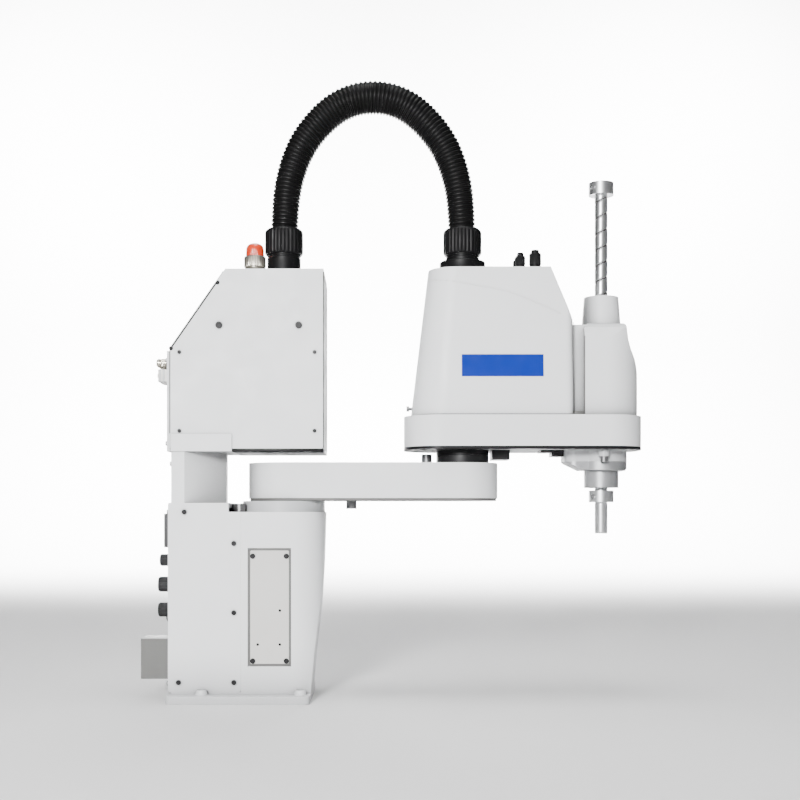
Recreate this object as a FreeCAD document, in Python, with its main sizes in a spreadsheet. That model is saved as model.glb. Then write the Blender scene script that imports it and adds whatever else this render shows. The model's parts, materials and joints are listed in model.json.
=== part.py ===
import FreeCAD, Part

import math
import os
import re

import Sketcher

# Tabletop SCARA robot arm. Millimetres, +Z up, +X along the straight arm.
# The origin is on the first joint's axis, in the plane that the foot stands on.

SIZES = {
    # kinematics
    "link_one": 225,
    "link_two": 175,
    "stroke": 150,
    # base
    "base_back": 138,
    "base_front": 53,
    "base_half": 52,
    "base_deck": 232,
    "rear_deck": 243,
    "foot_thick": 10,
    "foot_half": 75,
    "foot_front": 36,
    "foot_pitch": 120,
    "foot_centre": 36,
    "foot_bore": 9,
    "boss_top": 16,
    "sheet_thick": 2,
    "cast_wall": 6,
    # neck and head box
    "neck_nose": 72,
    "neck_nose_half": 9,
    "neck_flank": 118,
    "head_floor": 306,
    "head_roof": 529,
    "head_front": 52,
    "head_back": 136,
    "head_knee": 431,
    "head_slope": 68,
    # arm 1
    "arm_half": 44,
    "arm_low": 249,
    "arm_top": 293,
    "belly_low": 246,
    # arm 2
    "tray_low": 309.6,
    "tray_top": 351,
    "tray_back": 73.4,
    "tray_front": 222.5,
    "tray_half": 55,
    "cover_top": 534,
    "cover_half": 52,
    "cover_wall": 3,
    "cover_front": 358.5,
    "roof_front": 331,
    "nose_back": 372,
    "nose_half": 44.5,
    "valley_half": 36,
    "shoulder": 467,
    "neck_top": 502,
    "neck_bore": 17,
    # shaft
    "spline_dia": 16,
    "shaft_bore": 11,
    "shaft_low": 205,
    "shaft_top": 640,
    "seat_top": 243,
    "collar_dia": 31,
    "gap_run": 0.1,
    # cable duct
    "duct_dia": 34,
    "gland_seat": 555.4,
    "gland_top": 588,
    "gland_dia": 48,
}

doc = FreeCAD.newDocument("scara_robot_arm")
sheet = doc.addObject("Spreadsheet::Sheet", "Dims")
for row, (alias, value) in enumerate(SIZES.items(), start=1):
    sheet.set(f"A{row}", alias)
    sheet.set(f"B{row}", str(value))
    sheet.setAlias(f"B{row}", alias)
doc.recompute()

ALIAS = re.compile(r"\b(" + "|".join(sorted(SIZES, key=len, reverse=True)) + r")\b")
NODES = {}
ORIENT = {
    "z": FreeCAD.Rotation(),
    "x": FreeCAD.Rotation(FreeCAD.Vector(0, 1, 0), 90),
    "y": FreeCAD.Rotation(FreeCAD.Vector(1, 0, 0), -90),
}


def formula(text):
    """An expression in which every word of the sheet is written as a cell of it."""
    return ALIAS.sub(r"Dims.\1", str(text))


def value_of(text):
    """The number that such an expression comes to, for shapes made by Part's functions."""
    probe = doc.getObject("Probe") or doc.addObject("App::FeaturePython", "Probe")
    if "value" not in probe.PropertiesList:
        probe.addProperty("App::PropertyFloat", "value")
    probe.setExpression("value", formula(text))
    doc.recompute([probe])
    return float(probe.value)


def bind(target, **sizes):
    for name, text in sizes.items():
        target.setExpression(name, formula(text))


def place(target, at, axis="z"):
    target.Placement = FreeCAD.Placement(FreeCAD.Vector(), ORIENT[axis])
    for letter, text in zip("xyz", at):
        target.setExpression(f".Placement.Base.{letter}", formula(text))


def block(name, low, size_of):
    """A box from its low corner and its three lengths."""
    made = doc.addObject("Part::Box", name)
    bind(made, Length=size_of[0], Width=size_of[1], Height=size_of[2])
    place(made, low)
    return made


def rod(name, radius, length, at, axis="z"):
    """A cylinder that starts at a point and runs along an axis."""
    made = doc.addObject("Part::Cylinder", name)
    bind(made, Radius=radius, Height=length)
    place(made, at, axis)
    return made


def taper(name, low_radius, top_radius, length, at, axis="z"):
    """A cone's frustum that starts at a point and runs along an axis."""
    made = doc.addObject("Part::Cone", name)
    bind(made, Radius1=low_radius, Radius2=top_radius, Height=length)
    place(made, at, axis)
    return made


def ring(name, radius, bore, length, at, axis="z"):
    """A cylinder with a coaxial bore."""
    inside = rod(name + "_bore", bore, length, at, axis)
    return cut(name, rod(name + "_rim", radius, length, at, axis), inside)


def cut(name, base, *tools):
    made = doc.addObject("Part::Cut", name)
    made.Base = base
    made.Tool = tools[0] if len(tools) == 1 else fuse(name + "_tools", *tools)
    return made


def fuse(name, *pieces):
    made = doc.addObject("Part::MultiFuse", name)
    made.Shapes = list(pieces)
    return made


def common(name, *pieces):
    made = doc.addObject("Part::MultiCommon", name)
    made.Shapes = list(pieces)
    return made


def group(name, pieces):
    """Identical pieces that stay separate solids of one sub-part."""
    made = doc.addObject("Part::Compound", name)
    made.Links = list(pieces)
    return made


def soften(name, base, radius, chosen):
    """Part fillets of one radius on the edges that a test picks."""
    doc.recompute()
    made = doc.addObject("Part::Fillet", name)
    made.Base = base
    value = value_of(radius)
    edges = base.Shape.Edges
    made.Edges = [(i, value, value) for i, e in enumerate(edges, 1) if chosen(e)]
    return made


def upright(edge):
    """True for a straight edge along Z."""
    ends = [v.Point for v in edge.Vertexes]
    return len(ends) == 2 and abs(ends[0].x - ends[1].x) + abs(ends[0].y - ends[1].y) < 1e-6


def crosswise(edge):
    """True for a straight edge along Y."""
    ends = [v.Point for v in edge.Vertexes]
    return len(ends) == 2 and abs(ends[0].x - ends[1].x) + abs(ends[0].z - ends[1].z) < 1e-6


def plane_of(body, role):
    return next(f for f in body.Origin.OriginFeatures if f.Role == role)


def outline(body, name, role, corners):
    """A closed polygon whose corners are dimensioned from the sketch's origin."""
    sketch = body.newObject("Sketcher::SketchObject", name)
    sketch.AttachmentSupport = (plane_of(body, role), [""])
    sketch.MapMode = "FlatFace"
    spots = [FreeCAD.Vector(value_of(u), value_of(v), 0) for u, v in corners]
    for k, spot in enumerate(spots):
        sketch.addGeometry(Part.LineSegment(spot, spots[(k + 1) % len(spots)]), False)
    for k in range(len(spots)):
        sketch.addConstraint(Sketcher.Constraint("Coincident", k, 2, (k + 1) % len(spots), 1))
    for k, texts in enumerate(corners):
        for kind, text, value in zip(("DistanceX", "DistanceY"), texts, (spots[k].x, spots[k].y)):
            if abs(value) < 1e-9:
                line = -2 if kind == "DistanceX" else -1
                sketch.addConstraint(Sketcher.Constraint("PointOnObject", k, 1, line))
                continue
            row = sketch.addConstraint(Sketcher.Constraint(kind, -1, 1, k, 1, value))
            sketch.setExpression(f"Constraints[{row}]", formula(text))
    return sketch


def prism(name, role, corners, length, start="0"):
    """A polygon padded along Z from a height, or across Y to both sides."""
    body = doc.addObject("PartDesign::Body", name)
    sketch = outline(body, name + "_outline", role, corners)
    pad = body.newObject("PartDesign::Pad", name + "_pad")
    pad.Profile = sketch
    bind(pad, Length=length)
    if role == "XY_Plane":
        sketch.setExpression(".AttachmentOffset.Base.z", formula(start))
    else:
        pad.Midplane = True
    body.Tip = pad
    doc.recompute()
    return body


def round_prism(body, radius, chosen):
    """A PartDesign fillet on the edges that a test picks."""
    doc.recompute()
    tip = body.Tip
    edges = tip.Shape.Edges
    made = body.newObject("PartDesign::Fillet", body.Name + "_round" + str(len(body.Group)))
    made.Base = (tip, [f"Edge{i}" for i, e in enumerate(edges, 1) if chosen(e)])
    bind(made, Radius=radius)
    body.Tip = made
    doc.recompute()
    return body


def turned(name, profile, at):
    """A solid of revolution about an upright axis: (radius, height) corners."""
    body = doc.addObject("PartDesign::Body", name)
    sketch = outline(body, name + "_profile", "XZ_Plane", profile)
    spin = body.newObject("PartDesign::Revolution", name + "_spin")
    spin.Profile = sketch
    spin.ReferenceAxis = (sketch, ["V_Axis"])
    spin.Angle = 360
    body.Tip = spin
    for letter, text in zip("xyz", at):
        body.setExpression(f".Placement.Base.{letter}", formula(text))
    doc.recompute()
    return body


def node(name, made):
    made.Label = name
    NODES[name] = made
    return made


def free_shape(name, shape):
    made = doc.addObject("Part::Feature", name)
    made.Shape = shape
    made.Placement = FreeCAD.Placement()
    return made


def cap_screw(name, at, axis="z", head=4.5, tall=5, shank=2.5, deep=10):
    """A socket-head screw: head on the seat, shank behind it, hexagon socket."""
    turn = {"z": (0, 0, 1), "x": (1, 0, 0), "y": (0, 1, 0)}[axis.strip("-")]
    sign = -1 if axis.startswith("-") else 1
    way = FreeCAD.Vector(*turn) * sign
    seat = FreeCAD.Vector(*[value_of(v) for v in at])
    solid = Part.makeCylinder(head, tall, seat, way)
    solid = solid.fuse(Part.makeCylinder(shank, deep, seat - way * deep, way))
    across = head * 0.55
    hexagon = [
        FreeCAD.Vector(across * math.cos(k * math.pi / 3), across * math.sin(k * math.pi / 3), 0)
        for k in range(7)
    ]
    socket = Part.Face(Part.makePolygon(hexagon)).extrude(FreeCAD.Vector(0, 0, tall * 0.6))
    socket.Placement = FreeCAD.Placement(
        seat + way * (tall * 0.4 + 0.01), FreeCAD.Rotation(FreeCAD.Vector(0, 0, 1), way)
    )
    return free_shape(name, solid.cut(socket))


def make_base():
    """The foot and the casting above it, open at the back, with the J1 bore on top."""
    plan = round_prism(
        prism(
            "base_plan", "XY_Plane",
            [("-base_back + 4", "-base_half"), ("base_front", "-base_half"),
             ("base_front", "base_half"), ("-base_back + 4", "base_half")],
            "rear_deck",
        ),
        "38", lambda e: upright(e) and e.Vertexes[0].X > 0,
    )
    side = prism(
        "base_side", "XZ_Plane",
        [("-base_back + 4", "0"), ("foot_front - 1", "0"), ("foot_front + 5", "66"),
         ("base_front - 6", "113"), ("base_front - 2", "172"), ("base_front", "base_deck"),
         ("-64", "base_deck"), ("-64", "rear_deck"), ("-base_back + 4", "rear_deck")],
        "3 * base_half",
    )
    foot = round_prism(
        prism(
            "base_foot", "XY_Plane",
            [("-base_back", "-foot_half"), ("foot_front", "-foot_half"),
             ("foot_front", "foot_half"), ("-base_back", "foot_half")],
            "foot_thick",
        ),
        "6", upright,
    )
    cuts = [
        block("base_bay", ("-base_back", "-base_half + cast_wall + 2", "foot_thick + 6"),
              ("base_back - 62", "2 * base_half - 2 * cast_wall - 4", "rear_deck - foot_thick - 12")),
        block("base_hall", ("-63", "-base_half + cast_wall", "40"),
              ("74", "2 * base_half - 2 * cast_wall", "150")),
        rod("base_motor_well", "27", "160", ("0", "0", "foot_thick + 4")),
        rod("base_gear_well", "41", "80", ("0", "0", "base_deck - 60")),
    ]
    for k, side_sign in enumerate(("-", "+")):
        low = "-base_half - 1" if side_sign == "-" else "base_half - sheet_thick"
        cuts.append(block(f"base_cover_seat_{k}", ("-base_back - 1", low, "foot_thick + 2"),
                          ("base_back - 48", "sheet_thick + 1", "rear_deck")))
        low = "-base_half - 1" if side_sign == "-" else "base_half - 3.5"
        cuts.append(block(f"base_window_seat_{k}", ("-40.6", low, "43.5"),
                          ("53", "4.5", "144.4")))
        low = "-base_half" if side_sign == "-" else "base_half - cast_wall - 1"
        cuts.append(block(f"base_window_hole_{k}", ("-34", low, "50"),
                          ("40", "cast_wall + 1", "131")))
    bosses = []
    for k, (x, y) in enumerate((a, b) for a in ("-", "+") for b in ("-", "+")):
        spot = (f"-foot_centre {x} foot_pitch / 2", f"{y}foot_pitch / 2")
        bosses.append(taper(f"base_boss_{k}", "7.9", "6.2", "boss_top - foot_thick",
                            (*spot, "foot_thick")))
        cuts.append(rod(f"base_bolt_hole_{k}", "foot_bore / 2", "boss_top + 2", (*spot, "-1")))
    body = fuse("base_whole", common("base_trunk", plan, side), foot, *bosses)
    node("base_casting", cut("base_casting", body, *cuts))

    covers, plates = [], []
    for name, low in (("left", "-base_half"), ("right", "base_half - sheet_thick")):
        sheet_metal = soften(
            f"base_cover_round_{name}",
            block(f"base_cover_{name}", ("-base_back", low, "foot_thick + 2"),
                  ("base_back - 49", "sheet_thick", "rear_deck - foot_thick - 2")),
            "3", crosswise,
        )
        above_deck = block(f"base_cover_notch_{name}", ("-64", low + " - 1", "base_deck"),
                           ("20", "sheet_thick + 2", "20"))
        covers.append(cut(f"base_side_cover_{name}", sheet_metal, above_deck))
    node("base_side_covers", group("base_side_covers", covers))
    for name, low in (("left", "-base_half + 1.5"), ("right", "base_half - 3.5")):
        plate = soften(
            f"window_round_{name}",
            block(f"window_blank_{name}", ("-40", low, "44"), ("52", "sheet_thick", "143.4")),
            "4", crosswise,
        )
        holes = [
            rod(f"window_hole_{name}_{k}", "1.6", "6", (x, low + " - 2", z), "y")
            for k, (x, z) in enumerate((("-1.5", "111.5"), ("-28.5", "70"), ("-1.5", "70")))
        ]
        plates.append(cut(f"base_window_plate_{name}", plate, *holes))
    node("base_window_plates", group("base_window_plates", plates))
    panel = block("base_rear_blank", ("-base_back", "-base_half + sheet_thick", "foot_thick"),
                  ("4", "2 * base_half - 2 * sheet_thick", "rear_deck - foot_thick"))
    ports = [block("port_strip", ("-base_back - 1", "-24", "188"), ("6", "48", "42"))]
    for k, (z, r) in enumerate((("171.5", "6"), ("141", "7.5"), ("109", "7"))):
        ports.append(rod(f"port_round_{k}", r, "6", ("-base_back - 1", "0", z), "x"))
    ports.append(block("port_mains", ("-base_back - 1", "-16", "30"), ("6", "32", "34")))
    node("base_rear_panel", cut("base_rear_panel", panel, *ports))


def cap_tether():
    """The short stiff wire that keeps the lowest dust cap on the panel."""
    back = value_of("-base_back")
    bend = Part.Arc(FreeCAD.Vector(back - 10, 0, 100.5), FreeCAD.Vector(back - 7, 0, 93.2),
                    FreeCAD.Vector(back, 0, 90.5))
    section = Part.Face(Part.Wire(Part.makeCircle(0.9, FreeCAD.Vector(back - 10, 0, 100.5))))
    return free_shape("cap_tether", Part.Wire([bend.toShape()]).makePipe(section))


def make_base_ports():
    """Connectors on the back of the base."""
    strip = block("io_shell", ("-base_back - 9.5", "-24", "188"), ("19.5", "48", "42"))
    slots = [block(f"io_slot_{k}", ("-base_back - 10.5", "-20", f"191 + {k} * 9.5"),
                   ("12", "40", "7")) for k in range(4)]
    node("io_terminal_strip", cut("io_terminal_strip", strip, *slots))
    rounds = []
    for k, (z, inner, outer, tall) in enumerate(
        (("171.5", "6", "7.6", "18"), ("141", "7.5", "9.5", "20"), ("109", "7", "9", "20"))
    ):
        stem = rod(f"round_stem_{k}", f"{inner} - gap_run", "10", ("-base_back", "0", z), "x")
        cap = rod(f"round_cap_{k}", outer, tall, (f"-base_back - {tall}", "0", z), "x")
        rounds.append(fuse(f"round_port_{k}", stem, cap))
    node("round_connectors", group("round_connectors", [*rounds, cap_tether()]))
    hood = block("power_hood", ("-base_back - 39", "-20", "24"), ("39", "40", "50.5"))
    hollow = block("power_hollow", ("-base_back - 37", "-18", "26"), ("39", "36", "46.5"))
    flange = block("power_flange", ("-base_back - 1.5", "-24", "21"), ("1.5", "48", "57"))
    node("power_inlet_hood", cut("power_inlet_hood", fuse("power_shell", hood, flange), hollow))
    inlet = block("inlet_body", ("-base_back - 14", "-15.5", "31"), ("28", "31", "32"))
    pins = [block(f"inlet_pin_{k}", ("-base_back - 13", y, z), ("13.5", "2", "6"))
            for k, (y, z) in enumerate((("-8", "42"), ("6", "42"), ("-1", "52")))]
    pit = block("inlet_pit", ("-base_back - 15", "-12", "35"), ("15", "24", "26"))
    node("power_inlet", fuse("power_inlet", cut("inlet_shell", inlet, pit), *pins))


def make_base_inside():
    """Drive and electronics in the base."""
    can = rod("j1_can", "24", "120", ("0", "0", "foot_thick + 4"))
    flange = rod("j1_flange", "26.5", "6", ("0", "0", "foot_thick + 124"))
    spindle = rod("j1_spindle", "6", "28", ("0", "0", "foot_thick + 130"))
    node("j1_motor", fuse("j1_motor", can, flange, spindle))
    seat = "base_deck - 60"
    node("j1_gearhead", cut(
        "j1_gearhead",
        fuse("j1_gear_body", rod("j1_gear_drum", "40.5", "58", ("0", "0", seat)),
             rod("j1_gear_collar", "51.5", "13.5", ("0", "0", "base_deck"))),
        rod("j1_gear_input", "6.2", "60", ("0", "0", "base_deck - 61")),
        rod("j1_gear_output", "30.3", "16", ("0", "0", "base_deck - 2")),
    ))
    node("power_supply", block("power_supply", ("-118", "-38", "foot_thick + 6"), ("48", "60", "62")))
    servo = fuse("servo_amplifier", block("servo_board", ("-122", "-34", "90"), ("2", "68", "120")),
                 *[block(f"servo_fin_{k}", ("-120", f"-30 + {k} * 9", "96"), ("22", "3", "104"))
                   for k in range(7)])
    chips = [block(f"cpu_chip_{k}", ("-78", y, z), ("3.5", "16", "16"))
             for k, (y, z) in enumerate((("-20", "110"), ("4", "110"), ("-20", "150"), ("4", "160")))]
    cpu = fuse("cpu_board", block("cpu_sheet", ("-80", "-34", "90"), ("2", "68", "130")), *chips)
    node("control_boards", group("control_boards", [servo, cpu]))
    node("deck_blocks", group("deck_blocks", [
        block("deck_block_tall", ("-64", "-14", "base_deck"), ("7", "28", "10.5")),
        block("deck_block_near", ("-51.6", "-36", "base_deck"), ("6.4", "8.5", "10.5"))]))


def make_housing_screws():
    spots = []
    for x, z in (("-118", "232"), ("-125", "24"), ("-57.5", "193.6"), ("-57.5", "109"),
                 ("-57.5", "24")):
        spots.append((x, z))
    form = dict(head=3, tall=2, shank=1.5, deep=4)
    left = [(x, "-base_half", z) for x, z in spots]
    right = [(x, "base_half", z) for x, z in spots]
    screws = [cap_screw(f"cover_screw_l{k}", at, "-y", **form) for k, at in enumerate(left)]
    screws += [cap_screw(f"cover_screw_r{k}", at, "y", **form) for k, at in enumerate(right)]
    corners = [(x, z) for x in ("-34.6", "6.4") for z in ("50", "178")]
    form = dict(head=3.2, tall=1.6, shank=1.5, deep=4)
    screws += [cap_screw(f"window_screw_l{k}", (x, "-base_half + 1.5", z), "-y", **form)
               for k, (x, z) in enumerate(corners)]
    screws += [cap_screw(f"window_screw_r{k}", (x, "base_half - 1.5", z), "y", **form)
               for k, (x, z) in enumerate(corners)]
    small = dict(head=2.3, tall=1.6, shank=1.2, deep=4)
    large = dict(head=4.2, tall=2, shank=1.5, deep=4)
    spots = [("-124", "331", small), ("41", "331", small), ("-124", "427", small),
             ("41", "427", small), ("-75.7", "460", large), ("21.5", "460", large)]
    for letter, side, axis in (("l", "-base_half", "-y"), ("r", "base_half", "y")):
        screws += [cap_screw(f"head_screw_{letter}{k}", (x, side, z), axis, **form)
                   for k, (x, z, form) in enumerate(spots)]
    node("housing_screws", group("housing_screws", screws))


def make_head():
    """The neck and the box that carries the duct over the first joint."""
    neck = prism(
        "neck_wedge", "XY_Plane",
        [("-base_back + 4", "-base_half"), ("-neck_flank", "-base_half"),
         ("-neck_nose", "-neck_nose_half"), ("-neck_nose", "neck_nose_half"),
         ("-neck_flank", "base_half"), ("-base_back + 4", "base_half")],
        "head_floor - rear_deck + 4", "rear_deck",
    )
    shelf = block("head_shelf", ("-head_back + 2", "-base_half", "head_floor"),
                  ("head_back + head_front - 4", "2 * base_half", "4"))
    lips = []
    for k, low in enumerate(("-base_half - 1.5", "base_half + 0.1")):
        lips.append(block(f"head_lip_{k}", ("-base_back + 4", low, "head_floor"),
                          ("base_back - 64", "1.4", "21.4")))
        inner = "-base_half - 1" if k == 0 else "base_half - 1"
        lips.append(block(f"head_lip_foot_{k}", ("-base_back + 4", inner, "head_floor"),
                          ("base_back - 64", "2", "4")))
    duct_way = block("neck_way", ("-base_back + 10", "-28", "rear_deck - 1"),
                     ("34", "56", "head_floor - rear_deck + 8"))
    node("neck_casting", cut("neck_casting", fuse("neck_whole", neck, shelf, *lips), duct_way))

    corners = [("head_front", "head_floor"), ("head_front", "head_roof"),
               ("-head_slope", "head_roof"), ("-head_back", "head_knee"),
               ("-head_back", "head_floor")]
    inner = [("head_front - 2", "head_floor - 1"), ("head_front - 2", "head_roof - 2.5"),
             ("-head_slope + 1", "head_roof - 2.5"), ("-head_back + 2", "head_knee - 0.8"),
             ("-head_back + 2", "head_floor - 1")]
    hood = prism("head_outer", "XZ_Plane", corners, "2 * base_half - 2 * sheet_thick")
    core = prism("head_inner", "XZ_Plane", inner, "2 * base_half")
    ways = [rod(f"head_way_{k}", "4", "8", ("-head_back - 1", y, z), "x")
            for k, (y, z) in enumerate(HEAD_PORTS)]
    ways.append(rod("head_wire_way", "12", "20", ("0", "0", "head_roof - 10")))
    node("head_cover", cut("head_cover", hood, core, *ways))
    corners[0] = ("head_front", "head_floor + 4")
    corners[-1] = ("-head_back", "head_floor + 4")
    sides = []
    for name, y in (("left", "-base_half + sheet_thick / 2"),
                    ("right", "base_half - sheet_thick / 2")):
        side = prism(f"head_side_{name}", "XZ_Plane", corners, "sheet_thick")
        side.setExpression(".Placement.Base.y", formula(y))
        sides.append(side)
    node("head_side_plates", group("head_side_plates", sides))
    panel = block("head_rear_blank", ("-head_back - 3.8", "-base_half + 3", "head_floor"),
                  ("3.8", "2 * base_half - 6", "head_knee - head_floor - 2"))
    holes = [rod(f"head_port_{k}", "4", "8", ("-head_back - 5", y, z), "x")
             for k, (y, z) in enumerate(HEAD_PORTS)]
    node("head_rear_panel", cut("head_rear_panel", panel, *holes))
    run = "sqrt((head_back - head_slope)^2 + (head_roof - head_knee)^2)"
    slope = doc.addObject("Part::Box", "head_slope_cover")
    bind(slope, Length=run + " - 8", Width="2 * base_half - 8", Height="1.6")
    slope.Placement.Rotation = FreeCAD.Rotation(FreeCAD.Vector(0, 1, 0), -math.degrees(math.atan2(
        value_of("head_roof - head_knee"), value_of("head_back - head_slope"))))
    bind(slope, **{".Placement.Base.x": "-head_back + 2.3", ".Placement.Base.y": "-base_half + 4",
                   ".Placement.Base.z": "head_knee + 3.4"})
    node("head_slope_cover", slope)


HEAD_PORTS = (("-14", "418"), ("0", "418"), ("14", "418"))


def make_head_fittings():
    """Air fittings and the plug of the user wires on the back of the head, and the lamp."""
    fittings = []
    for k, (y, z) in enumerate(HEAD_PORTS):
        stem = rod(f"rear_stem_{k}", "3.8", "14", ("-head_back - 9", y, z), "x")
        nose = rod(f"rear_nose_{k}", "5.5", "13", ("-head_back - 22", y, z), "x")
        bore = rod(f"rear_bore_{k}", "2", "20", ("-head_back - 23", y, z), "x")
        fittings.append(cut(f"rear_fitting_{k}", fuse(f"rear_solid_{k}", stem, nose), bore))
    node("rear_air_fittings", group("rear_air_fittings", fittings))
    shell = block("rear_plug_shell", ("-head_back - 19.3", "-22", "394.4"), ("15.5", "44", "15"))
    pit = block("rear_plug_pit", ("-head_back - 20.3", "-15", "397"), ("8", "30", "9.6"))
    ears = [rod(f"rear_plug_screw_{k}", "2.4", "3", ("-head_back - 20.3", y, "401.8"), "x")
            for k, y in enumerate(("-18.5", "18.5"))]
    node("rear_user_connector", fuse("rear_user_connector", cut("rear_plug_body", shell, pit), *ears))
    x, y = "-34.5", "-23"
    node("lamp_socket", fuse("lamp_socket", rod("lamp_foot", "13", "6", (x, y, "head_roof")),
                             rod("lamp_collar", "13.4", "14", (x, y, "head_roof + 6"))))
    dome = soften("lamp_dome", rod("lamp_glass", "11.2", "16.7", (x, y, "head_roof + 20")),
                  "9", lambda e: e.Curve.TypeId == "Part::GeomCircle" and e.CenterOfMass.z > 560)
    node("lamp_lens", dome)


def make_gland(prefix, x, seat, brim, brim_tall):
    """The fixed half of a duct joint: a flange and a nut round the duct's end."""
    at = (x, "0", seat)
    body = fuse(
        f"{prefix}_solid",
        rod(f"{prefix}_flange", brim, brim_tall, at),
        rod(f"{prefix}_drum", "21", f"gland_seat - {seat}", at),
    )
    node(f"{prefix}_gland_body", cut(f"{prefix}_gland_body", body,
                                     rod(f"{prefix}_way", "12", "40", (x, "0", f"{seat} - 1"))))
    nut = rod(f"{prefix}_nut_rim", "gland_dia / 2", "gland_top - gland_seat", (x, "0", "gland_seat"))
    nut = cut(f"{prefix}_nut_hollow", nut,
              rod(f"{prefix}_nut_bore", "duct_dia / 2 + 0.5", "60", (x, "0", "gland_seat - 1")))
    rim = soften(f"{prefix}_nut_round", nut, "2.5",
                 lambda e: e.Vertexes[0].Z > value_of("gland_top") - 0.1 and e.Length > 140)
    node(f"{prefix}_gland_nut", rim)


def make_arm_one():
    """The lower link with its belly cover, its joint hubs and the stop screws."""
    def obround(name, radius, low, tall):
        ends = [rod(f"{name}_end_{k}", radius, tall, (x, "0", low)) for k, x in
                enumerate(("0", "link_one"))]
        web = block(f"{name}_web", ("0", f"-({radius})", low), ("link_one", f"2 * ({radius})", tall))
        return fuse(name, web, *ends)

    solid = obround("arm_1_solid", "arm_half", "arm_low", "arm_top - arm_low")
    cavity = block("arm_1_cavity", ("50", "-arm_half + 7", "arm_low - 1"),
                   ("link_one - 98", "2 * arm_half - 14", "arm_top - arm_low - 6"))
    ribs = [block(f"arm_1_rib_{k}", (f"{88 + 36 * k}", "-arm_half + 5", "arm_low"),
                  ("5", "2 * arm_half - 10", "arm_top - arm_low - 6")) for k in range(2)]
    bores = [rod("arm_1_gear_well", "33", "36", ("link_one", "0", "arm_top - 32")),
             rod("arm_1_hub_well", "30.2", "8", ("0", "0", "arm_low - 1"))]
    node("arm_1_casting", cut("arm_1_casting", fuse("arm_1_ribbed", cut(
        "arm_1_hollowed", solid, cavity), *ribs), *bores))
    belly = obround("arm_1_belly", "arm_half - 1.5", "belly_low", "arm_low - belly_low")
    holes = [rod("belly_hub_hole", "30.6", "10", ("0", "0", "belly_low - 1")),
             rod("belly_stop_hole", "7", "10", ("85", "0", "belly_low - 1"))]
    node("arm_1_belly_cover", cut("arm_1_belly_cover", belly, *holes))
    node("j1_output_flange", fuse("j1_output_flange",
        rod("j1_hub_disc", "30", "17.5", ("0", "0", "arm_low - 11")),
        rod("j1_hub_boss", "26", "8", ("0", "0", "arm_low - 12"))))
    node("arm_1_stop_screws", group("arm_1_stop_screws", [
        cap_screw("j1_stop_screw", ("85", "0", "arm_low"), "-z", head=6.5, tall=13, shank=4,
                  deep=0.5),
        cap_screw("j2_stop_screw", ("link_one - 45", "0", "arm_top"), "z", head=6.5, tall=11.5,
                  shank=4, deep=4)]))
    node("j2_gearhead", cut("j2_gearhead",
        rod("j2_gear_drum", "33 - 0.1", "42", ("link_one", "0", "arm_top - 32")),
        rod("j2_gear_bore", "8", "60", ("link_one", "0", "arm_top - 33"))))


DUCT_ROUTE = (
    (0, 555.4), (0.3, 592), (5.1, 651.6), (27.8, 707.9), (78.9, 754.8),
    (146.1, 754.8), (197.2, 707.9), (219.9, 651.6), (224.7, 592), (225, 555.4),
)


def make_duct():
    """The corrugated duct's outer shape: straight runs joined by tangent arcs."""
    route = [FreeCAD.Vector(x, 0, z) for x, z in DUCT_ROUTE]
    edges = []
    start = route[0]
    radii = []
    for before, corner, after in zip(route, route[1:], route[2:]):
        come, leave = corner - before, after - corner
        turn = come.getAngle(leave)
        radius = 0.45 * min(come.Length, leave.Length) / math.tan(turn / 2)
        radii.append(radius)
        trim = radius * math.tan(turn / 2)
        into = corner - come.normalize() * trim
        out = corner + leave.normalize() * trim
        inward = (leave - come).normalize()
        middle = corner + inward * (radius / math.cos(turn / 2) - radius)
        edges += [Part.LineSegment(start, into).toShape(), Part.Arc(into, middle, out).toShape()]
        start = out
    edges.append(Part.LineSegment(start, route[-1]).toShape())
    spine = Part.Wire(edges)
    way = (route[1] - route[0]).normalize()
    section = Part.Face(Part.Wire(Part.makeCircle(value_of("duct_dia / 2"), route[0], way)))
    tube = spine.makePipe(section)
    print("duct length", round(spine.Length, 1), "radii", [round(r) for r in radii])
    print("duct volume over section times length",
          round(tube.Volume / (section.Area * spine.Length), 4))
    low = value_of("gland_seat")
    keep = Part.makeBox(600, 200, 400, FreeCAD.Vector(-200, -100, low))
    node("cable_duct", free_shape("cable_duct", tube.common(keep)))


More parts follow.
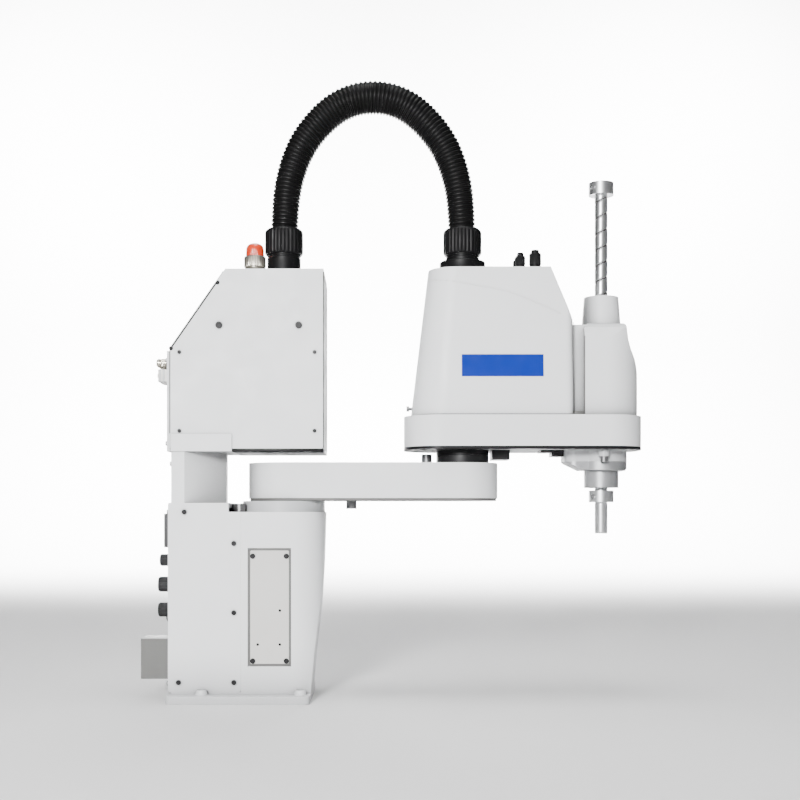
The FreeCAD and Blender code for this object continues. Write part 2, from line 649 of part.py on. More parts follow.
def make_arm_two():
    """The tray that carries the drives and the moulded cover on top of it."""
    tray = round_prism(
        prism("tray_blank", "XY_Plane",
              [("link_one - tray_back", "-tray_half"), ("link_one + tray_front", "-tray_half"),
               ("link_one + tray_front", "tray_half"), ("link_one - tray_back", "tray_half")],
              "tray_top - tray_low", "tray_low"),
        "46", upright)
    hollow = round_prism(
        prism("tray_hollow", "XY_Plane",
              [("link_one - tray_back + 6", "-tray_half + 6"),
               ("link_one + tray_front - 6", "-tray_half + 6"),
               ("link_one + tray_front - 6", "tray_half - 6"),
               ("link_one - tray_back + 6", "tray_half - 6")],
              "tray_top - tray_low", "tray_low + 8"),
        "40", upright)
    axis = "link_one + link_two"
    bosses = [rod(f"tray_boss_{k}", "6", "tray_top - tray_low - 1", (x, y, "tray_low"))
              for k, (x, y) in enumerate(COVER_SCREWS)]
    holes = [rod("tray_spline_hole", "18.2", "20", (axis, "0", "tray_low - 1")),
             rod("tray_gear_hole", "22.1", "20", ("link_one", "0", "tray_low - 1"))]
    node("arm_2_casting", cut("arm_2_casting", fuse(
        "tray_bossed", cut("tray_open", tray, hollow), *bosses), *holes))
    node("j2_output_flange", fuse("j2_output_flange",
        rod("j2_hub_disc", "33", "tray_low - arm_top - 10.3", ("link_one", "0", "arm_top + 10.3")),
        rod("j2_hub_boss", "22", "8", ("link_one", "0", "tray_low"))))
    node("j2_stop_block", block("j2_stop_block", ("link_one + 36", "-18", "arm_top + 4.5"),
                                ("22", "36", "tray_low - arm_top - 4.5")))
    under = block("tension_boss_low", (f"{axis} - 78", "-16", "tray_low - 3"), ("22", "32", "3"))
    step = block("tension_boss_high", (f"{axis} - 64", "-14", "tray_low - 8"), ("14.5", "28", "8"))
    node("belt_tension_block", fuse("belt_tension_block", under, step))


COVER_SCREWS = [("link_one - 61", "0"), ("link_one + 212", "0"),
                ("link_one - 30", "-43"), ("link_one - 30", "43"),
                ("link_one + 70", "-43"), ("link_one + 70", "43")]


def rounded_outline(back, front, half, back_round, front_round, z):
    """A flat rectangle's wire with one radius on its back corners and one on its front ones."""
    corners = ((front, half, front_round, 0), (back, half, back_round, 90),
               (back, -half, back_round, 180), (front, -half, front_round, 270))
    points = []
    for x, y, r, start in corners:
        centre = FreeCAD.Vector(x - math.copysign(r, x - (back + front) / 2),
                                y - math.copysign(r, y), z)
        for step in (0, 45, 90):
            t = math.radians(start + step)
            points.append(centre + FreeCAD.Vector(r * math.cos(t), r * math.sin(t), 0))
    edges = []
    for k in range(0, 12, 3):
        edges.append(Part.Arc(*points[k:k + 3]).toShape())
        edges.append(Part.LineSegment(points[k + 2], points[(k + 3) % 12]).toShape())
    return Part.Wire(edges)


def cover_trunk(name, inset, low, high):
    """The tapered box over the motors, its front sloped from the roof to the shoulder."""
    half, skin = value_of("cover_half"), value_of(inset)
    front = value_of("cover_front") - skin
    foot = rounded_outline(160 + skin, front, half - skin, 42 - skin, 9 - skin, value_of(low))
    roof = rounded_outline(182 + skin, front, half - 12 - skin, 34 - skin, 9 - skin, value_of(high))
    body = free_shape(name, Part.makeLoft([foot, roof], True, True))
    wedge = prism(name + "_wedge", "XZ_Plane",
                  [(f"roof_front - 0.7 * {inset}", "cover_top + 5"),
                   (f"roof_front - 0.7 * {inset}", high), (f"cover_front - {inset}", "shoulder"),
                   ("cover_front + 9", "shoulder"), ("cover_front + 9", "cover_top + 5")],
                  "3 * cover_half")
    return cut(name + "_cut", body, wedge)


def cover_nose(name, inset, low):
    """The round-fronted block about the shaft, cut to its side and its end outlines."""
    axis = "link_one + link_two"
    half = f"(nose_half - {inset})"
    plan = fuse(f"{name}_plan", rod(f"{name}_round", half, "130", (axis, "0", low)),
                block(f"{name}_square", (f"nose_back + {inset}", f"-{half}", low),
                      (f"{axis} - nose_back - {inset}", f"2 * {half}", "130")))
    side = prism(f"{name}_side", "XZ_Plane",
                 [(f"nose_back + {inset}", low), (f"nose_back + {inset}", f"shoulder - 9 - {inset}"),
                  ("nose_back + 7", f"shoulder - {inset}"),
                  (f"{axis} + 24.2 - {inset}", f"shoulder - {inset}"),
                  (f"{axis} + 27.5 - {inset}", "shoulder - 23"),
                  (f"{axis} + 31.5 - {inset}", "shoulder - 34"),
                  (f"{axis} + 38 - {inset}", "shoulder - 46"),
                  (f"{axis} + 42.5 - {inset}", "shoulder - 60"),
                  (f"{axis} + {half}", "shoulder - 75"), (f"{axis} + {half}", low)],
                 "3 * cover_half")
    brow = [("0", "shoulder - 21"), ("1.5", "shoulder - 14"), ("6", "shoulder - 7.5"),
            ("13", "shoulder - 3"), ("20.5", f"shoulder - 0.5 - {inset}")]
    right = [(f"{half} - {into}", f"{z} - 0.4 * {inset}") for into, z in brow]
    left = [(f"{into} - {half}", z) for (into, _), (_, z) in zip(brow, right)]
    end = prism(f"{name}_end", "YZ_Plane",
                [(half, low), *right, ("0", f"shoulder + 1 - {inset}"), *left[::-1],
                 (f"-{half}", low)], "2 * nose_half + 60")
    end.setExpression(".Placement.Base.x", formula(axis))
    return common(name, plan, side, end)


def make_cover():
    """The moulded cover: the trunk, the nose, its neck and the bridge between the two."""
    axis = "link_one + link_two"
    here = (axis, "0", "0")
    neck = turned("cover_neck", [("0", "shoulder - 20"), ("24.2", "shoulder - 20"),
                                 ("24.2", "shoulder"), ("21.5", "neck_top"), ("0", "neck_top")],
                  here)
    throat = turned("cover_neck_core", [("0", "shoulder - 21"), ("21", "shoulder - 21"),
                                        ("21", "shoulder"), ("neck_bore", "shoulder + 7"),
                                        ("neck_bore", "neck_top + 1"), ("0", "neck_top + 1")],
                    here)
    bridge = block("cover_bridge", ("cover_front - 6", "-valley_half", "tray_top"),
                   ("26", "2 * valley_half", "shoulder - 4 - tray_top"))
    passage = block("cover_passage",
                    ("cover_front - 7", "-valley_half + cover_wall", "tray_top - 1"),
                    ("28", "2 * valley_half - 2 * cover_wall",
                     "shoulder - 4 - tray_top - cover_wall + 1"))
    outer = fuse("cover_outer", cover_trunk("cover_trunk", "0", "tray_top", "cover_top"),
                 cover_nose("cover_nose", "0", "tray_top"), neck, bridge)
    inner = fuse("cover_inner",
                 cover_trunk("cover_core", "cover_wall", "tray_top - 1", "cover_top - cover_wall"),
                 cover_nose("cover_nose_core", "cover_wall", "tray_top - 1"), throat, passage)
    ways = [rod("cover_duct_way", "12", "20", ("link_one", "0", "cover_top - 10")),
            rod("cover_rear_way", "2", "12", ("152", "0", "362"), "x"),
            rod("cover_button_way", "4.6", "20", (*BUTTON_SPOT, "cover_top - 10"))]
    node("arm_2_cover", cut("arm_2_cover", cut("cover_shell", outer, inner), *ways))


BUTTON_SPOT = ("324", "12")


def make_arm_two_top():
    """What stands on the roof of arm 2."""
    fittings = []
    for k, (x, y, r, tall) in enumerate((("296.5", "-14", "6.2", "18"), ("316", "-6", "7.6", "23"),
                                         ("296.5", "14", "6.2", "18"))):
        foot = rod(f"top_fit_foot_{k}", r, tall, (x, y, "cover_top"))
        tip = rod(f"top_fit_tip_{k}", f"{r} * 0.62", "4", (x, y, f"cover_top + {tall}"))
        bore = rod(f"top_fit_bore_{k}", "2", "30", (x, y, "cover_top + 4"))
        fittings.append(cut(f"top_fit_{k}", fuse(f"top_fit_solid_{k}", foot, tip), bore))
    node("top_air_fittings", group("top_air_fittings", fittings))
    shell = block("top_plug_shell", ("258", "-17", "cover_top"), ("16", "34", "4.5"))
    pit = block("top_plug_pit", ("262", "-11", "cover_top + 1"), ("8", "22", "8"))
    node("top_user_connector", cut("top_user_connector", shell, pit))
    frame = ring("brake_button_frame", "6", "4.4", "5", (*BUTTON_SPOT, "cover_top"))
    node("brake_button", fuse("brake_button",
        rod("button_cap", "4.2", "7", (*BUTTON_SPOT, "cover_top + 2")),
        rod("button_stem", "3", "8", (*BUTTON_SPOT, "cover_top - 6"))))
    switch = cut("brake_switch_body",
                 block("switch_body", ("312", "4", "cover_top - 24"), ("16", "16", "20")),
                 rod("switch_well", "3.4", "8", (*BUTTON_SPOT, "cover_top - 11")))
    node("brake_switch", group("brake_switch", [frame, switch]))


def make_drives():
    """Motors, brake, belts and pulleys inside arm 2."""
    node("j2_motor", fuse("j2_motor", rod("j2_can", "27", "104", ("link_one", "0", "tray_low + 22")),
                          rod("j2_face", "30", "14", ("link_one", "0", "tray_low + 8"))))
    motors = []
    for name, x, y in (("j3_motor", "300", "-21.5"), ("j4_motor", "300", "21.5")):
        low = "tray_low + 60"
        can = block(f"{name}_can", (f"{x} - 20", f"{y} - 20", low), ("40", "40", "72"))
        face = block(f"{name}_plate", (f"{x} - 20", f"{y} - 20", f"{low} - 6"), ("40", "40", "6"))
        bore = rod(f"{name}_bore", "4", "14", (x, y, f"{low} - 7"))
        motors.append(cut(name, fuse(f"{name}_solid", can, face), bore))
    node("j3_j4_motors", group("j3_j4_motors", motors))
    node("j3_brake", rod("j3_brake", "18", "26", ("300", "-21.5", "tray_low + 132")))
    bracket = block("bracket_plate", ("278", "-46", "tray_low + 48"), ("74", "92", "6"))
    legs = [block(f"bracket_leg_{k}", (x, y, "tray_low + 8"), ("6", "6", "40"))
            for k, (x, y) in enumerate((("278", "-46"), ("278", "40"), ("318", "-46"), ("318", "40")))]
    ways = [rod(f"bracket_way_{k}", "12.5", "20", (x, y, "tray_low + 40"))
            for k, (x, y) in enumerate((("300", "-21.5"), ("300", "21.5")))]
    ways.append(rod("bracket_spindle", "4", "20", ("346", "18", "tray_low + 40")))
    node("motor_bracket", cut("motor_bracket", fuse("bracket_solid", bracket, *legs), *ways))


def pulley(name, x, y, radius, low, tall, bore):
    """A toothed-belt pulley with two flanges."""
    wheel = rod(f"{name}_wheel", radius, tall, (x, y, low))
    brims = [rod(f"{name}_brim_{k}", f"{radius} + 1.6", "0.8", (x, y, z))
             for k, z in enumerate((low, f"{low} + {tall} - 0.8"))]
    return cut(name, fuse(f"{name}_solid", wheel, *brims),
               rod(f"{name}_bore", bore, "60", (x, y, f"{low} - 5")))


def belt(name, first, second, low, tall):
    """A closed belt round two pulleys, each given as (x, y, radius)."""
    def loop(extra):
        (x1, y1, r1), (x2, y2, r2) = (tuple(value_of(v) for v in p) for p in (first, second))
        r1 += extra
        r2 += extra
        span = math.hypot(x2 - x1, y2 - y1)
        lean = math.atan2(y2 - y1, x2 - x1)
        side = math.acos((r1 - r2) / span)
        a, b = lean + side, lean - side

        def at(x, y, r, t):
            return FreeCAD.Vector(x + r * math.cos(t), y + r * math.sin(t), value_of(low))
        edges = [
            Part.LineSegment(at(x1, y1, r1, a), at(x2, y2, r2, a)).toShape(),
            Part.Arc(at(x2, y2, r2, a), at(x2, y2, r2, lean), at(x2, y2, r2, b)).toShape(),
            Part.LineSegment(at(x2, y2, r2, b), at(x1, y1, r1, b)).toShape(),
            Part.Arc(at(x1, y1, r1, b), at(x1, y1, r1, lean + math.pi),
                     at(x1, y1, r1, a)).toShape(),
        ]
        return Part.Face(Part.Wire(edges)).extrude(FreeCAD.Vector(0, 0, value_of(tall)))
    return free_shape(name, loop(1.5).cut(loop(0.05)))


def make_belts():
    axis = "link_one + link_two"
    turn_low, mid_low, lift_low = "tray_low + 17", "tray_low + 29", "tray_low + 40"
    middle = ("346", "18")
    node("j4_motor_pulley", fuse("j4_motor_pulley",
        pulley("j4_motor_wheel", "300", "21.5", "10", mid_low, "8.5", "2"),
        rod("j4_spindle", "3.9", "34", ("300", "21.5", "tray_low + 31"))))
    node("j3_motor_pulley", fuse("j3_motor_pulley",
        pulley("j3_motor_wheel", "300", "-21.5", "11", lift_low, "7.4", "2"),
        rod("j3_spindle", "3.9", "24", ("300", "-21.5", "tray_low + 41"))))
    node("j4_middle_pulley", fuse("j4_middle_pulley",
        pulley("j4_middle_small", *middle, "12", turn_low, "8.5", "2"),
        pulley("j4_middle_large", *middle, "20", mid_low, "8.5", "2"),
        rod("j4_middle_spindle", "3.9", "44", (*middle, "tray_low + 9"))))
    node("drive_belts", group("drive_belts", [
        belt("j4_first_belt", ("300", "21.5", "10"), (*middle, "20"), f"{mid_low} + 1.2", "6"),
        belt("j4_second_belt", (*middle, "12"), (axis, "0", "24"), f"{turn_low} + 1.2", "6"),
        belt("j3_belt", ("300", "-21.5", "11"), (axis, "0", "22"), f"{lift_low} + 1", "5.4")]))


def make_shaft_group():
    """Housing, spline nut, ball nut and the hollow shaft with its two collars."""
    axis = "link_one + link_two"
    here = (axis, "0")
    plan = fuse("housing_plan",
                rod("housing_plan_round", "31.8", "60", (*here, "tray_low - 45")),
                soften("housing_plan_soft",
                       block("housing_plan_block", (f"{axis} - 49", "-25", "tray_low - 45"),
                             ("49", "50", "60")),
                       "14", lambda e: upright(e) and e.Vertexes[0].X < 360))
    side = prism("housing_side", "XZ_Plane",
                 [(f"{axis} - 49", "tray_low - 14.7"), (f"{axis} - 26.3", "tray_low - 25"),
                  (f"{axis} + 26.7", "tray_low - 26.1"), (f"{axis} + 31.8", "tray_low - 22.3"),
                  (f"{axis} + 31.8", "tray_low - 14.7")], "100")
    barrel = rod("housing_barrel", "21.5", "24", (*here, "tray_low - 47"))
    bore = rod("housing_bore", "17.4 + gap_run", "60", (*here, "tray_low - 60"))
    node("shaft_housing", cut("shaft_housing", fuse(
        "housing_whole", common("housing_cheek", plan, side), barrel), bore))
    plate = common("flange_blank", plan, block(
        "flange_band", (f"{axis} - 60", "-60", "tray_low - 14.7"), ("120", "120", "14.7")))
    ears = [rod(f"flange_ear_{k}", "7", "9", (f"{axis} - 3", y, "tray_low - 9"))
            for k, y in enumerate(("-36", "36"))]
    holes = [rod(f"flange_hole_{k}", "2.5", "12", (f"{axis} - 3", y, "tray_low - 10"))
             for k, y in enumerate(("-37.4", "37.4"))]
    holes += [rod(f"flange_seat_{k}", "5.2", "7", (f"{axis} - 3", y, "tray_low - 16"))
              for k, y in enumerate(("-37.4", "37.4"))]
    holes.append(rod("flange_bore", "17.4 + gap_run", "30", (*here, "tray_low - 20")))
    node("shaft_flange_plate", cut("shaft_flange_plate", fuse("flange_eared", plate, *ears), *holes))
    bolts = [cap_screw(f"flange_bolt_{k}", (f"{axis} - 3", y, "tray_low - 9"), "-z", head=4.8,
                       tall=7, shank=2.4, deep=8) for k, y in enumerate(("-37.4", "37.4"))]
    bolts.append(cap_screw("cover_bolt", ("157.8", "0", "362"), "-x", head=3.4, tall=3.4,
                           shank=1.9, deep=6))
    node("arm_2_screws", group("arm_2_screws", bolts))

    nut = rod("spline_nut_drum", "17.4", "72", (*here, "tray_low - 45"))
    node("spline_nut", group("spline_nut", [
        cut("spline_nut_sleeve", nut, rod("spline_nut_bore", "spline_dia / 2 + gap_run", "80",
                                          (*here, "tray_low - 50"))),
        pulley("spline_nut_pulley", *here, "24", "tray_low + 17", "8.5", "17.4")]))
    ball = rod("ball_nut_drum", "15.9", "36", (*here, "tray_low + 29"))
    node("ball_nut", group("ball_nut", [
        cut("ball_nut_sleeve", ball, rod("ball_nut_bore", "spline_dia / 2 + gap_run", "80",
                                         (*here, "tray_low + 20"))),
        pulley("ball_nut_pulley", *here, "22", "tray_low + 40", "7.4", "15.9")]))
    disc = rod("ball_bearing_disc", "37", "6", (*here, "tray_low + 52"))
    legs = []
    for k, (dx, dy) in enumerate((("+ 9", "33"), ("- 9", "33"), ("+ 9", "-33"), ("- 9", "-33"))):
        legs.append(rod(f"bearing_leg_{k}", "3.5", "45", (f"{axis} {dx}", dy, "tray_low + 8")))
    node("ball_nut_bearing", cut("ball_nut_bearing", fuse("ball_bearing_solid", disc, *legs), rod(
        "ball_bearing_bore", "16", "20", (*here, "tray_low + 45"))))

    shaft = rod("shaft_rod", "spline_dia / 2", "shaft_top - shaft_low", (*here, "shaft_low"))
    relief = ring("seat_relief", "9", "7.4", "1.5", (*here, "seat_top"))
    node("spline_shaft", cut("spline_shaft", shaft, relief, rod(
        "shaft_through", "shaft_bore / 2", "500", (*here, "shaft_low - 5"))))
    collars = (("upper_stop_collar", "631", "15.5"), ("lower_stop_collar", "seat_top + 1.5", "14.5"))
    screws = []
    for name, low, tall in collars:
        clamp = rod(f"{name}_rim", "collar_dia / 2", tall, (*here, low))
        if name.startswith("upper"):
            hole = fuse(f"{name}_hole", rod(f"{name}_bore", "spline_dia / 2", "9", (*here, low)),
                        rod(f"{name}_air_way", "shaft_bore / 2", "20", (*here, low)))
        else:
            hole = rod(f"{name}_bore", "spline_dia / 2", "20", (*here, f"{low} - 1"))
        slit = block(f"{name}_slit", (f"{axis} - 20", "-0.8", f"{low} - 1"), ("14", "1.6", "20"))
        well = rod(f"{name}_well", "2.6", "9.5", (f"{axis} - 11.6", "-15", f"{low} + {tall} / 2"), "y")
        node(name, cut(name, clamp, hole, slit, well))
        screws.append(rod(f"{name}_screw", "2.4", "3",
                          (f"{axis} - 11.6", "-8.5", f"{low} + {tall} / 2"), "y"))
    node("collar_clamp_screws", group("collar_clamp_screws", screws))


make_base()
make_base_ports()
make_base_inside()
make_housing_screws()
make_head()
make_head_fittings()
make_gland("base", "0", "head_roof", "27", "3.5")
make_gland("arm", "link_one", "cover_top", "28.6", "12.5")
make_arm_one()
make_duct()
make_arm_two()
make_cover()
make_arm_two_top()
make_drives()
make_belts()
make_shaft_group()
doc.recompute()

faults = [o.Label for o in doc.Objects if "Invalid" in o.State or "Error" in o.State]
for name, made in NODES.items():
    if made.Shape.isNull() or not made.Shape.isValid():
        faults.append(name + " has no valid shape")
if faults:
    raise SystemExit("failed: " + ", ".join(faults))
os.makedirs("parts", exist_ok=True)
for name, made in NODES.items():
    made.Shape.exportStep(f"parts/{name}.step")
print(len(NODES), "nodes")
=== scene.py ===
import json
import math

import bmesh
import bpy
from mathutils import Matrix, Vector


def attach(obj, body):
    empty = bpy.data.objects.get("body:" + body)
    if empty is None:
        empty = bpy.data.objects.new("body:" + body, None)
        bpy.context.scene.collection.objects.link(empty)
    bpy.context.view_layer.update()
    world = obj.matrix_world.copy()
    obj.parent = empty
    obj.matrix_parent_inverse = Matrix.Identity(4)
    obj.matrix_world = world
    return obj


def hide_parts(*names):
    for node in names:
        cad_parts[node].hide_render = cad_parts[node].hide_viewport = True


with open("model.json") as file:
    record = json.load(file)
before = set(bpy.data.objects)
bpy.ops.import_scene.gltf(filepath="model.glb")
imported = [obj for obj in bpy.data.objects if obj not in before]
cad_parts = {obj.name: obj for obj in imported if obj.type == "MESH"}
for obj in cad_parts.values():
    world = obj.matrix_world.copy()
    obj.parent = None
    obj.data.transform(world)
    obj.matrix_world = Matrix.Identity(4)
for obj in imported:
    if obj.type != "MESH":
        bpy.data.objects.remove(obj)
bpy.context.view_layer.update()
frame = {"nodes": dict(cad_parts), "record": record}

MM = 0.001

# ---------------------------------------------------------------- camera
camera_data = bpy.data.cameras.new("camera")
camera_data.lens = 55.98
camera_data.sensor_width = 36
camera_data.shift_x = 0.031
camera_data.shift_y = 0.144
camera_data.clip_end = 50
camera = bpy.data.objects.new("camera", camera_data)
camera.location = (0.115, -1.570, 0.228)
camera.rotation_euler = (math.radians(90), 0, 0)
bpy.context.collection.objects.link(camera)
bpy.context.scene.camera = camera


# ---------------------------------------------------------------- mesh helpers
def link(name, bm, smooth):
    """A new object from a bmesh, with smooth faces up to a 35 degree crease."""
    bmesh.ops.recalc_face_normals(bm, faces=bm.faces)
    mesh = bpy.data.meshes.new(name)
    bm.to_mesh(mesh)
    bm.free()
    made = bpy.data.objects.new(name, mesh)
    bpy.context.collection.objects.link(made)
    if smooth:
        mesh.shade_smooth()
        mesh.set_sharp_from_angle(angle=math.radians(35))
    return made


def skin_rings(bm, rings, loop=False):
    """Faces between rings of equal length, which join up in a loop or have closed ends."""
    pairs = list(zip(rings, rings[1:])) + ([(rings[-1], rings[0])] if loop else [])
    for low, high in pairs:
        for k in range(len(low)):
            n = (k + 1) % len(low)
            bm.faces.new((low[k], low[n], high[n], high[k]))
    if not loop:
        bm.faces.new(rings[0][::-1])
        bm.faces.new(rings[-1])


def spin_into(bm, profile, centre, way=(0, 0, 1), bored=True, turns=48, flutes=0, depth=0.0,
              fluted=()):
    """Adds a body of revolution from (radius, distance) points along a line, all in mm.

    A bored body's points run right round its section; a solid one's run from end to end.
    Only the points whose places in the profile are listed in fluted have the flutes.
    """
    way = Vector(way)
    side = way.orthogonal().normalized()
    up = way.cross(side)
    rings = []
    for place, (radius, along) in enumerate(profile):
        ring = []
        for k in range(turns):
            t = math.tau * k / turns
            r = radius
            if place in fluted:
                r -= depth * (0.5 - 0.5 * math.cos(flutes * t)) ** 3
            spot = Vector(centre) + way * along + (side * math.cos(t) + up * math.sin(t)) * r
            ring.append(bm.verts.new(spot * MM))
        rings.append(ring)
    skin_rings(bm, rings, loop=bored)


def box_into(bm, low, high, bevel=0.0):
    """Adds a box between two corners in mm, with its edges bevelled."""
    verts = bmesh.ops.create_cube(bm, size=1.0)["verts"]
    for v in verts:
        v.co = Vector([low[i] + (v.co[i] + 0.5) * (high[i] - low[i]) for i in range(3)]) * MM
    if bevel:
        edges = list(dict.fromkeys(e for v in verts for e in v.link_edges))
        bmesh.ops.bevel(bm, geom=edges, offset=bevel * MM, segments=2, affect="EDGES",
                        profile=0.5)


def tube_into(bm, points, radius, sides=12):
    """Adds a round wire through the points, in mm."""
    spots = [Vector(p) for p in points]
    rings = []
    for k, spot in enumerate(spots):
        ahead = (spots[min(k + 1, len(spots) - 1)] - spots[max(k - 1, 0)]).normalized()
        side = ahead.cross(Vector((0.13, 0.05, 1))).normalized()
        up = side.cross(ahead)
        rings.append([bm.verts.new((spot + (side * math.cos(math.tau * j / sides)
                                            + up * math.sin(math.tau * j / sides)) * radius) * MM)
                      for j in range(sides)])
    skin_rings(bm, rings)


def put(name, bm, body, slot, stands_for=None, paint=None, smooth=True):
    """A finished piece that rides on a body, in place of a CAD node if one is named."""
    piece = link(name, bm, smooth)
    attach(piece, body)
    if stands_for:
        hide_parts(stands_for)
    piece.data.materials.append(paint or FINISHES[slot])
    return piece


# ---------------------------------------------------------------- materials
def finish(name, colour, roughness=0.5, metallic=0.0, grain=900.0, bump=0.04, spread=0.06,
           edge=0.0, rounding=0.0006, smudge=0.10, coat=0.0, shine=0.5, hollow=1.0,
           stretch=(1, 1, 1)):
    """A procedural finish: colour drift, smudged roughness, grain in the bump, softened edges
    lighter in patches as wear and as a painted highlight. grain is in waves per metre, rounding
    in metres, and hollow is how much of the colour is left deep in a corner, as painted shade."""
    made = bpy.data.materials.new(name)
    made.use_nodes = True
    nodes, links = made.node_tree.nodes, made.node_tree.links
    shader = nodes["Principled BSDF"]
    shader.inputs["Metallic"].default_value = metallic
    shader.inputs["Specular IOR Level"].default_value = shine
    shader.inputs["Coat Weight"].default_value = coat
    shader.inputs["Coat Roughness"].default_value = 0.15
    place = nodes.new("ShaderNodeTexCoord")
    scale = nodes.new("ShaderNodeMapping")
    scale.inputs["Scale"].default_value = stretch
    links.new(place.outputs["Object"], scale.inputs["Vector"])

    def noise(waves, detail):
        made_noise = nodes.new("ShaderNodeTexNoise")
        made_noise.inputs["Scale"].default_value = waves
        made_noise.inputs["Detail"].default_value = detail
        links.new(scale.outputs["Vector"], made_noise.inputs["Vector"])
        return made_noise.outputs["Fac"]

    drift = noise(14.0, 5.0)
    ramp = nodes.new("ShaderNodeValToRGB")
    ramp.color_ramp.elements[0].position = 0.3
    ramp.color_ramp.elements[1].position = 0.7
    ramp.color_ramp.elements[0].color = (*[c * (1 - spread) for c in colour], 1)
    ramp.color_ramp.elements[1].color = (*[min(1, c * (1 + spread * 0.4)) for c in colour], 1)
    links.new(drift, ramp.inputs["Fac"])
    tint = ramp.outputs["Color"]

    soft = nodes.new("ShaderNodeBevel")
    soft.samples = 4
    soft.inputs["Radius"].default_value = rounding
    # Painted highlight and wear: the colour is lighter in patches along the softened edges.
    if edge:
        shape = nodes.new("ShaderNodeNewGeometry")
        dot = nodes.new("ShaderNodeVectorMath")
        dot.operation = "DOT_PRODUCT"
        links.new(soft.outputs["Normal"], dot.inputs[0])
        links.new(shape.outputs["Normal"], dot.inputs[1])
        edge_wear_and_sheen = nodes.new("ShaderNodeMapRange")
        edge_wear_and_sheen.inputs["From Min"].default_value = 0.995
        edge_wear_and_sheen.inputs["From Max"].default_value = 0.90
        links.new(dot.outputs["Value"], edge_wear_and_sheen.inputs["Value"])
        patch = nodes.new("ShaderNodeMath")
        patch.operation = "MULTIPLY"
        links.new(edge_wear_and_sheen.outputs["Result"], patch.inputs[0])
        links.new(noise(160.0, 4.0), patch.inputs[1])
        mix = nodes.new("ShaderNodeMix")
        mix.data_type = "RGBA"
        mix.inputs["B"].default_value = (*[min(1, c * 1.25 + edge) for c in colour], 1)
        links.new(patch.outputs["Value"], mix.inputs["Factor"])
        links.new(tint, mix.inputs["A"])
        tint = mix.outputs["Result"]
    # Painted shade: the colour is darkened deep in corners and recesses, where shade falls.
    if hollow < 1:
        nook = nodes.new("ShaderNodeAmbientOcclusion")
        nook.samples = 6
        nook.inputs["Distance"].default_value = 0.07
        open_sky = nodes.new("ShaderNodeMapRange")
        open_sky.inputs["From Min"].default_value = 0.25
        open_sky.inputs["From Max"].default_value = 0.95
        open_sky.inputs["To Min"].default_value = hollow
        links.new(nook.outputs["AO"], open_sky.inputs["Value"])
        shade = nodes.new("ShaderNodeVectorMath")
        shade.operation = "SCALE"
        links.new(tint, shade.inputs[0])
        links.new(open_sky.outputs["Result"], shade.inputs["Scale"])
        tint = shade.outputs["Vector"]
    links.new(tint, shader.inputs["Base Color"])

    rough = nodes.new("ShaderNodeMapRange")
    rough.inputs["To Min"].default_value = max(0.02, roughness - smudge)
    rough.inputs["To Max"].default_value = min(1, roughness + smudge)
    rough.inputs["From Min"].default_value = 0.3
    rough.inputs["From Max"].default_value = 0.7
    links.new(noise(45.0, 6.0), rough.inputs["Value"])
    links.new(rough.outputs["Result"], shader.inputs["Roughness"])

    relief = nodes.new("ShaderNodeBump")
    relief.inputs["Strength"].default_value = bump
    relief.inputs["Distance"].default_value = 0.0002
    links.new(noise(grain, 2.0), relief.inputs["Height"])
    links.new(soft.outputs["Normal"], relief.inputs["Normal"])
    links.new(relief.outputs["Normal"], shader.inputs["Normal"])
    return made


WHITE = (0.80, 0.81, 0.82)
